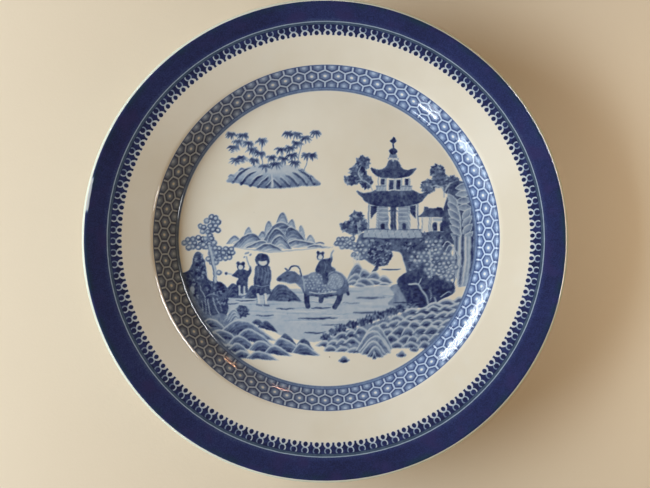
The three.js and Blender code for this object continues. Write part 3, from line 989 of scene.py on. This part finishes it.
def paintLeftRocks(sheet):
    tones = (0.14, 0.44, 0.9)
    sheet.patch([(-72, -28), (-64, -40), (-54, -40), (-50, -46), (-44, -60), (-46, -64), (-56, -60),
                 (-66, -48), (-74, -36)], 0.5)
    sheet.foliage(-44.6, -38.6, 3.6, 3.2, 0.8)
    for k in range(4):
        sheet.lobe(-49.4 + 0.4 * k, -44.4, 5.2 - 1.1 * k, 7.4 - 1.7 * k, 0.1, -0.1, (0.12, 0.42, 0.7))
    folds = ((-60.5, -47.0, 7.5, 4.6, -0.1, -0.06), (-65.4, -47.4, 5.0, 3.0, 0, -0.1),
             (-41.5, -52.0, 15.5, 8.6, -0.25, -0.16), (-55.4, -53.2, 9.5, 5.0, 0.0, -0.12),
             (-59, -53, 6, 3.2, 0, -0.3), (-38.0, -55.0, 11.0, 6.6, -0.25, -0.2),
             (-57.6, -57, 5.4, 3.4, 0, -0.4), (-54.6, -59.4, 6.4, 3.4, 0, -0.3),
             (-44.2, -58.2, 9.0, 6.4, -0.2, -0.22), (-50.8, -60, 6, 4.0, 0, -0.25),
             (-46.4, -60.4, 6.4, 4.8, -0.1, -0.25), (-20.4, -60.4, 10.0, 7.2, -0.35, -0.16),
             (-32.4, -60.6, 9.6, 6.2, -0.3, -0.18), (-25.4, -61.8, 8.0, 5.0, -0.3, -0.14),
             (-10.6, -61.6, 8.0, 5.8, -0.4, -0.12), (-50.0, -63.0, 6.0, 3.4, 0, -0.2),
             (-43.8, -63.6, 7.6, 4.2, -0.15, -0.12), (-33.8, -64.2, 9.0, 4.6, -0.25, -0.07))
    dark = ((-31.2, -48.4, 5.4, 4.6), (-20.8, -55.2, 4.8, 4.4), (-11.2, -57.6, 4.8, 4.0),
            (-35.6, -46.2, 4.6, 3.0))
    for x, y, w, h in dark:
        sheet.lobe(x, y, w, h, -0.1, -0.3, (0.62, 0.74, 0.9))
    for x, y, w, h, lean, tilt in folds:
        sheet.lobe(x, y, w, h, lean, tilt, tones, 0.95, 0.6)


def paintRightRocks(sheet):
    hand = sheet.hand
    # the dark hedge along the far bank
    hedge = curveThrough([(0, -53), (7.8, -47.6), (18.6, -44.8), (26.8, -41.4), (34.9, -39.2),
                          (45.7, -35.8)])
    for x, y in hedge[::3]:
        sheet.foliage(x + hand.uniform(-0.4, 0.4), y + hand.uniform(-0.3, 0.5), hand.uniform(2.3, 3.1),
                      1.9, 0.8)
    sheet.patch([(-2, -57), (8, -50), (24, -45), (40, -40), (56, -36.5), (72, -32), (66, -44),
                 (54, -57), (30, -58), (14, -60)], 0.5)
    rows = (((58, -36.8), (72, -33.4), 3, 6.0, 3.2), ((46, -40.0), (70, -37.6), 5, 6.2, 3.3),
            ((38, -43.8), (68, -42.0), 6, 6.0, 3.5), ((31, -47.4), (65, -46.4), 7, 5.6, 3.8),
            ((33, -51.4), (62, -50.6), 6, 5.6, 4.2), ((36, -55.0), (58, -54.8), 5, 5.4, 4.2),
            ((38, -58.2), (52, -58.4), 3, 5.6, 4.0), ((8, -53.4), (19, -50.6), 3, 4.8, 4.2),
            ((-1, -57.6), (14, -55.6), 4, 5.4, 3.8), ((3, -60.0), (14, -60.2), 3, 5.6, 3.6))
    for start, end, count, w, h in rows:
        for k in range(count):
            share = k / max(count - 1, 1)
            x = start[0] + (end[0] - start[0]) * share + hand.uniform(-0.7, 0.7)
            y = start[1] + (end[1] - start[1]) * share + hand.uniform(-0.5, 0.5)
            sheet.lobe(x, y, w * hand.uniform(0.8, 1.1), h * hand.uniform(0.85, 1.15),
                       hand.uniform(-0.25, 0.25), -0.05, (0.14, 0.42, 0.92), 1.1, 0.8)
    # the mound in front, folds inside folds
    for k in range(6):
        sheet.lobe(25.6 + 0.3 * (-1) ** k, -58.4 - 1.1 * k, 9.6 + 0.6 * k - 0.45 * k * k, 12.6 - 1.7 * k,
                   0.04 * (-1) ** k, -0.02, (0.12, 0.4, 0.9), 1.1, 0.7)
    for x, y, w, h in ((9.4, -65.2, 3.0, 3.0), (39.7, -62.4, 2.5, 3.0), (46.4, -59.4, 2.4, 1.9)):
        sheet.oval(x, y + 0.4, w, 0.9, 0.86)
        sheet.lobe(x, y, w, h, 0, 0, (0.3, 0.4, 0.92), 0.7)


def tuftedHead(sheet, x, y):
    # a child's head, with a plain face and the hair tied in two tufts
    sheet.oval(x, y, 1.95, 1.9, 0.8)
    sheet.oval(x, y - 0.35, 1.35, 1.3, 0.08)
    for side in (-1, 1):
        sheet.oval(x + 1.4 * side, y + 1.7, 0.85, 0.85, 0.95)


def paintPeople(sheet):
    # two people on the bank: a child with a sprig, and a grown-up in a long robe
    bank = ((-50, -31.6, 5.6, 7.6, 0.1), (-39.4, -31.8, 4, 6.8, 0), (-22.4, -33.2, 9.4, 9.0, -0.3))
    for x, y, w, h, lean in bank:
        sheet.lobe(x, y, w, h, lean, 0, (0.66, 0.72, 0.78))
    sheet.stroke([(-20, -33.2), (-17.7, -32.4), (-15.6, -33)], 1.6, 0.92, (0.5, 0.5))
    sheet.patch([(-48.6, -18.4), (-46.8, -16.4), (-44.0, -16.4), (-41.6, -17.2), (-40.6, -14.6),
                 (-39.9, -17.4), (-41.4, -20.6), (-42.2, -23.4), (-47.4, -23.2), (-46.8, -21.2),
                 (-50.2, -19.6)], 0.78)
    sheet.stroke([(-40.6, -15.4), (-41.6, -12.4), (-42.2, -9.6)], 0.5, 0.4)
    for x, y in ((-43.4, -9.8), (-41.8, -7.6), (-40.4, -8.6), (-42.8, -7.9)):
        sheet.oval(x, y, 0.7, 0.5, 0.42, 40)
    sheet.stroke([(-50.4, -18.8), (-52.4, -18.5)], 0.8, 0.18)
    sheet.oval(-53.3, -18.5, 0.7, 0.8, 0.85)
    sheet.patch([(-47.6, -23.2), (-41.8, -23.4), (-41.6, -28.4), (-44, -29.4),
                 (-47.6, -28.6)], 0.82, smooth=False)
    for x in (-46.2, -43.6):
        sheet.stroke([(x, -25.4), (x + 0.2, -30)], 1.1, 0.1)
        sheet.stroke([(x - 0.9, -30.5), (x + 0.9, -30.4)], 0.7, 0.7)
    tuftedHead(sheet, -45.35, -14.9)
    sheet.patch([(-37.2, -14.6), (-30.6, -14.6), (-29.2, -20), (-30.0, -25.6), (-29.8, -29.6),
                 (-38.8, -29.6), (-38.4, -24), (-38.2, -19)], fade(-30, -16, 0.84, 0.68))
    sheet.stroke([(-37.6, -24.6), (-34, -25.4), (-30.2, -24.8)], 0.45, 0.4)
    sheet.stroke([(-34, -15), (-33.8, -19), (-34.8, -23)], 0.4, 0.42)
    for x in (-36.6, -32.4, -31):
        sheet.stroke([(x, -15.6), (x + 0.4, -19), (x - 0.3, -23.4)], 0.45, 0.46)
    for x in (-36.8, -34.6, -32.2):
        sheet.stroke([(x, -26), (x - 0.2, -29)], 0.5, 0.5, (0.3, 0.5))
    for x in (-36.4, -32.4):
        sheet.stroke([(x, -29.8), (x + 0.2, -34.6)], 1.6, 0.08)
        sheet.stroke([(x - 0.8, -29.8), (x - 0.5, -34.6)], 0.35, 0.6)
        sheet.stroke([(x - 0.6, -35.2), (x + 2.0, -35.6)], 0.9, 0.66, (0.1, 0.5))
    sheet.oval(-34.0, -11.6, 3.9, 3.7, 0.78)
    sheet.oval(-33.8, -12.7, 2.4, 1.9, 0.07)
    sheet.oval(-34.2, -10.4, 3.4, 1.9, 0.86)


def paintBuffalo(sheet):
    body = [(-17.4, -18.2), (-13, -19.6), (-8, -18.4), (-3, -17.0), (3, -16.8), (8.4, -18.6), (11.2, -22.4),
            (11.6, -27.4), (8.4, -29.6), (2, -30.6), (-5, -30.4), (-11.2, -29.6), (-13.4, -26),
            (-16.4, -23.6)]
    for line, width in (([(-10.2, -28), (-10.6, -32), (-9.8, -36.0)], 3.0),
                        ([(-2.6, -30), (-3.0, -33)], 3.0),
                        ([(7.6, -27.6), (6.8, -32), (4.4, -36.4)], 3.0),
                        ([(10.4, -27), (11.6, -29.4)], 1.8)):
        sheet.stroke(line, width, 0.86, (0, 0.2))
    sheet.patch(body, fade(-31, -18, 0.62, 0.46))
    sheet.patch([(-25.9, -21.2), (-24.6, -19.4), (-21.4, -17.6), (-17.6, -17.4), (-14.6, -19.4),
                 (-14.4, -22.8), (-18.4, -24.0), (-22.8, -23.2), (-25.2, -22.8)], 0.6)
    sheet.oval(-25.0, -21.6, 1.3, 1.0, 0.9)
    sheet.oval(-20.6, -19.6, 0.7, 0.5, 0.9)
    sheet.stroke([(-24.2, -23.2), (-20, -24.6), (-16, -25.2)], 0.7, 0.08, (0.3, 0.3))
    for x, y in sheet.spots(-1.4, -23.6, 10.6, 5.2, 1.9):
        sheet.oval(x, y, 0.5, 0.4, 0.22)
    sheet.oval(4.8, -22.8, 4.9, 4.9, 0.66)
    sheet.oval(4.8, -22.8, 4.4, 4.4, 0.42)
    for x, y in sheet.spots(4.8, -22.8, 3.8, 3.8, 1.5):
        sheet.oval(x, y, 0.4, 0.35, 0.2)
    sheet.stroke([(-8.8, -28.6), (-2, -29.2), (5, -28.4)], 0.6, 0.1)
    sheet.stroke([(-8.4, -30.2), (-1, -30.8), (6, -30.0)], 1.6, 0.82, (0.4, 0.4))
    sheet.stroke([(-12.8, -20), (-11.8, -24), (-11.4, -28)], 0.8, 0.3)
    for line in ([(-19.8, -16.8), (-18.4, -15.0), (-15.8, -14.6), (-14.0, -16.4)],
                 [(-21.6, -16.2), (-20.4, -17.2)], [(-13.9, -17.0), (-13.2, -19.8)]):
        sheet.stroke(line, 0.85, 0.82, (0.3, 0.4))
    # the rider, a child with two tufts of hair and a switch
    sheet.patch([(-5.8, -17.4), (-4.2, -12.6), (-2.0, -11.2), (1.2, -10.4), (2.8, -8.8), (3.4, -11.2),
                 (2.4, -14.4), (4.8, -16.8), (1.2, -18.4), (0.6, -23.4), (-1.8, -23.8),
                 (-2.4, -19.4)], 0.82)
    sheet.stroke([(2.4, -9.6), (3.2, -7.6), (3.8, -6.6)], 0.9, 0.3)
    sheet.stroke([(-1.2, -12.4), (-0.4, -15), (-1.2, -18)], 0.4, 0.55)
    tuftedHead(sheet, -3.2, -9.5)


def paintScene():
    sheet = Sheet(painting)
    for group in (paintIsland, paintMountains, paintBigTrees, paintWater, paintPagoda, paintRightTrees,
                  paintMiddle, paintLeftTree, paintLeftRocks, paintRightRocks, paintPeople, paintBuffalo):
        group(sheet)
    sheet.loosen(painting)
    # nothing is painted past the line that closes the scene
    area, x, y = sheet.window((-painting["half"],) * 2, (painting["half"],) * 2)
    away = np.hypot(x, y)
    sheet.lay(area, sheet.edge(away - painting["edge"]), borderBand["tone"])
    sheet.lay(area, sheet.edge(borderBand["line"] / 2 - np.abs(away - painting["edge"])),
              borderBand["lineTone"])
    return sheet


print("finishes ready")

plainGlaze = plainGlazeFinish("whiteGlaze")
bareClay = bareClayFinish()

honeycomb = turn("honeycomb_border", faceSlab(zones["scene"], zones["honeycomb"], pitch=0.35),
                 honeycombFinish(), face=True)
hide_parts("honeycomb_border_print")
turn("marly_glaze", faceSlab(zones["honeycomb"], zones["marly"]), plainGlaze, face=True)
lace = turn("lace_border", faceSlab(zones["marly"], zones["lace"]), laceFinish(), face=True)
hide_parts("lace_border_print")
band = turn("rim_band_glazed", faceSlab(zones["lace"], zones["band"]), rimBandFinish(),
            face=True)
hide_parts("rim_band")

well = wellDisc("well_scene", zones["scene"], sceneFinish(), paintScene().read)
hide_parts("centre_scene_print")
print("scene painted")

# the lip and back: from the outer edge of the band round to the foot, closed over the top of the base
outer = np.vstack([lip, back])
outer = [tuple(p) for p in outer if p[0] > zones["band"] or p[1] < plateHeight - 2.2]
joint = (zones["band"], float(faceHeight(zones["band"])))
shell = [(zones["band"], joint[1] - shape["layer"]), joint] + outer
# the rest of the way round runs inside the clay, out of sight
baseEdge, lift = shape["baseTop"]
shell += [(baseEdge, bareBase), (baseEdge, bareBase + lift)] + shape["inside"]
lipAndBack = turn("lip_and_back", shell, plainGlazeFinish("edgeGlaze", True))
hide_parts("glaze_coat", "clay_body")

(topIn, topOut), (treadIn, treadOut) = shape["footTop"], shape["footTread"]
bevel = shape["footBevel"]
ring = [(topIn, bareBase), (treadIn - bevel, bevel)]
ring += roundCorner(ring[-1], (treadIn, 0.0), (treadOut, 0.0), 0.5, 5)
ring += roundCorner((treadIn, 0.0), (treadOut, 0.0), (treadOut + bevel, bevel), 0.5, 5)
ring += [(treadOut + bevel, bevel), (topOut, bareBase)]
footRing = turn("foot_ring_clay", ring, bareClay, sharp=50.0)
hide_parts("foot_ring")

# the glaze inside the foot sags a hair in the middle, and thins out against the ring
thick, edge = shape["baseGlaze"], shape["baseGlazeEdge"]
disc = [(0.0, -thick), (40.0, -thick - 0.02), (edge, -thick), (topIn, -0.1), (topIn, 0.1), (0.0, 0.1)]
baseDisc = turn("base_glaze_disc", [(r, bareBase + z) for r, z in disc], plainGlaze,
                closed=False)
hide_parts("base_glaze")
print("plate turned")

# floor, light and camera
studio = {
    "floor": (0.75, 0.67, 0.56), "floorShade": (0.72, 0.64, 0.53), "floorSize": 20.0,
    "room": (1.0, 0.67, 0.34), "roomStrength": 0.46, "overhead": 0.25, "dimFrom": (0.62, 0.88),
    "eye": (0.0, 0.0011, 0.5754), "aim": (0.0, -0.0014, 0.026), "lens": 59.22,
}
# bearing and height in degrees, distance and size in metres; a glint only shows in the gloss
lamps = {
    "window": {"bearing": 183, "height": 24.5, "away": 1.12, "size": (1.2, 0.42), "radiance": 12.9,
               "colour": (0.9, 0.99, 1.0), "glint": False},
    "glint_left": {"bearing": 28, "height": 61.7, "away": 0.8, "size": (0.18, 0.045), "radiance": 50.0,
                   "colour": (0.95, 0.98, 1.0)},
    "glint_upper": {"bearing": -12, "height": 61.7, "away": 0.8, "size": (0.05, 0.04), "radiance": 32.0,
                    "colour": (0.95, 0.98, 1.0)},
    "glint_low": {"bearing": 145.5, "height": 26.4, "away": 0.9, "size": (0.34, 0.032), "radiance": 26.0,
                  "colour": (0.88, 0.95, 1.0)},
    "glint_high": {"bearing": 231.5, "height": 25.5, "away": 0.9, "size": (0.11, 0.055), "radiance": 30.0,
                   "colour": (0.88, 0.95, 1.0)},
    "glint_line": {"bearing": 187, "height": 30.0, "away": 0.9, "size": (0.9, 0.03), "radiance": 20.0,
                   "colour": (0.8, 0.92, 1.0)},
    "ember_one": {"bearing": 52, "height": 12.5, "away": 0.8, "size": (0.08, 0.014), "radiance": 40.0,
                  "colour": (1.0, 0.5, 0.26)},
    "ember_two": {"bearing": 73, "height": 12.5, "away": 0.8, "size": (0.09, 0.014), "radiance": 36.0,
                  "colour": (1.0, 0.46, 0.3)},
}
bounce = {"place": (0.46, 0.0, 0.75), "target": (0.27, 0.0, 0.0), "power": 10.5, "cone": 31.0,
          "radius": 0.12, "colour": (1.0, 0.84, 0.62)}


def floorFinish():
    net = Finish("studioFloor")
    cloud = net.noise(9.0, 4.0, 0.55)
    grain = net.noise(600.0, 3.0, 0.6)
    colour = net.mix(cloud.rise(0.3, 0.75) * 0.35, studio["floor"], studio["floorShade"])
    bump = net.node("ShaderNodeBump", {}, {"Strength": 0.06, "Distance": 0.001, "Height": grain})
    net.set(Base_Color=colour, Roughness=0.55, Normal=bump)
    return net.material


bm = bmesh.new()
bmesh.ops.create_grid(bm, x_segments=2, y_segments=2, size=studio["floorSize"])
floorMesh = bpy.data.meshes.new("studio_floor")
bm.to_mesh(floorMesh)
bm.free()
floor = bpy.data.objects.new("studio_floor", floorMesh)
floorMesh.materials.append(floorFinish())
bpy.context.scene.collection.objects.link(floor)


def aimAt(item, place, target):
    toTarget = np.array(target, float) - np.array(place, float)
    back = -toTarget / np.linalg.norm(toTarget)
    side = np.cross((0, 1, 0) if abs(back[2]) > 0.9 else (0, 0, 1), back)
    side /= np.linalg.norm(side)
    up = np.cross(back, side)
    turnTo = Matrix((side, up, back)).transposed().to_4x4()
    turnTo.translation = place
    item.matrix_world = turnTo


def softLight(name, look, target=(0.0, 0.0, 0.01)):
    lamp = bpy.data.lights.new(name, "AREA")
    lamp.shape = "RECTANGLE"
    lamp.size, lamp.size_y = look["size"]
    lamp.energy = look["radiance"] * math.pi * lamp.size * lamp.size_y
    lamp.color = look["colour"]
    item = bpy.data.objects.new(name, lamp)
    bpy.context.scene.collection.objects.link(item)
    item.visible_camera = False
    item.visible_diffuse = not look.get("glint", True)
    item.visible_glossy = look.get("glint", True)
    bearing, height = math.radians(look["bearing"]), math.radians(look["height"])
    place = [look["away"] * part for part in (math.cos(height) * math.cos(bearing),
                                              math.cos(height) * math.sin(bearing), math.sin(height))]
    aimAt(item, place, target)


for name, look in lamps.items():
    softLight(name, look)

# a little light thrown back on the floor beyond the shaded side of the plate
spot = bpy.data.lights.new("bounce", "SPOT")
spot.energy = bounce["power"]
spot.color = bounce["colour"]
spot.spot_size = math.radians(bounce["cone"])
spot.spot_blend = 1.0
spot.shadow_soft_size = bounce["radius"]
bounced = bpy.data.objects.new("bounce", spot)
bounced.visible_camera = False
bpy.context.scene.collection.objects.link(bounced)
aimAt(bounced, bounce["place"], bounce["target"])

world = bpy.data.worlds.new("room")
bpy.context.scene.world = world
world.use_nodes = True
sky = world.node_tree.nodes
sky["Background"].inputs[0].default_value = (*studio["room"], 1.0)
# a warm room, dimmer straight overhead, so that the flat glaze stays deep
towards = sky.new("ShaderNodeTexCoord")
split = sky.new("ShaderNodeSeparateXYZ")
dim = sky.new("ShaderNodeMapRange")
dim.interpolation_type = "SMOOTHSTEP"
strength = studio["roomStrength"]
for socket, value in zip(dim.inputs[1:5], (*studio["dimFrom"], strength, strength * studio["overhead"])):
    socket.default_value = value
world.node_tree.links.new(towards.outputs["Generated"], split.inputs[0])
world.node_tree.links.new(split.outputs[2], dim.inputs[0])
world.node_tree.links.new(dim.outputs[0], sky["Background"].inputs[1])

lens = bpy.data.cameras.new("camera")
lens.lens = studio["lens"]
lens.sensor_width = 36.0
camera = bpy.data.objects.new("camera", lens)
bpy.context.scene.collection.objects.link(camera)
aimAt(camera, studio["eye"], studio["aim"])
bpy.context.scene.camera = camera
bpy.context.scene.view_settings.view_transform = "Standard"
print("studio ready")
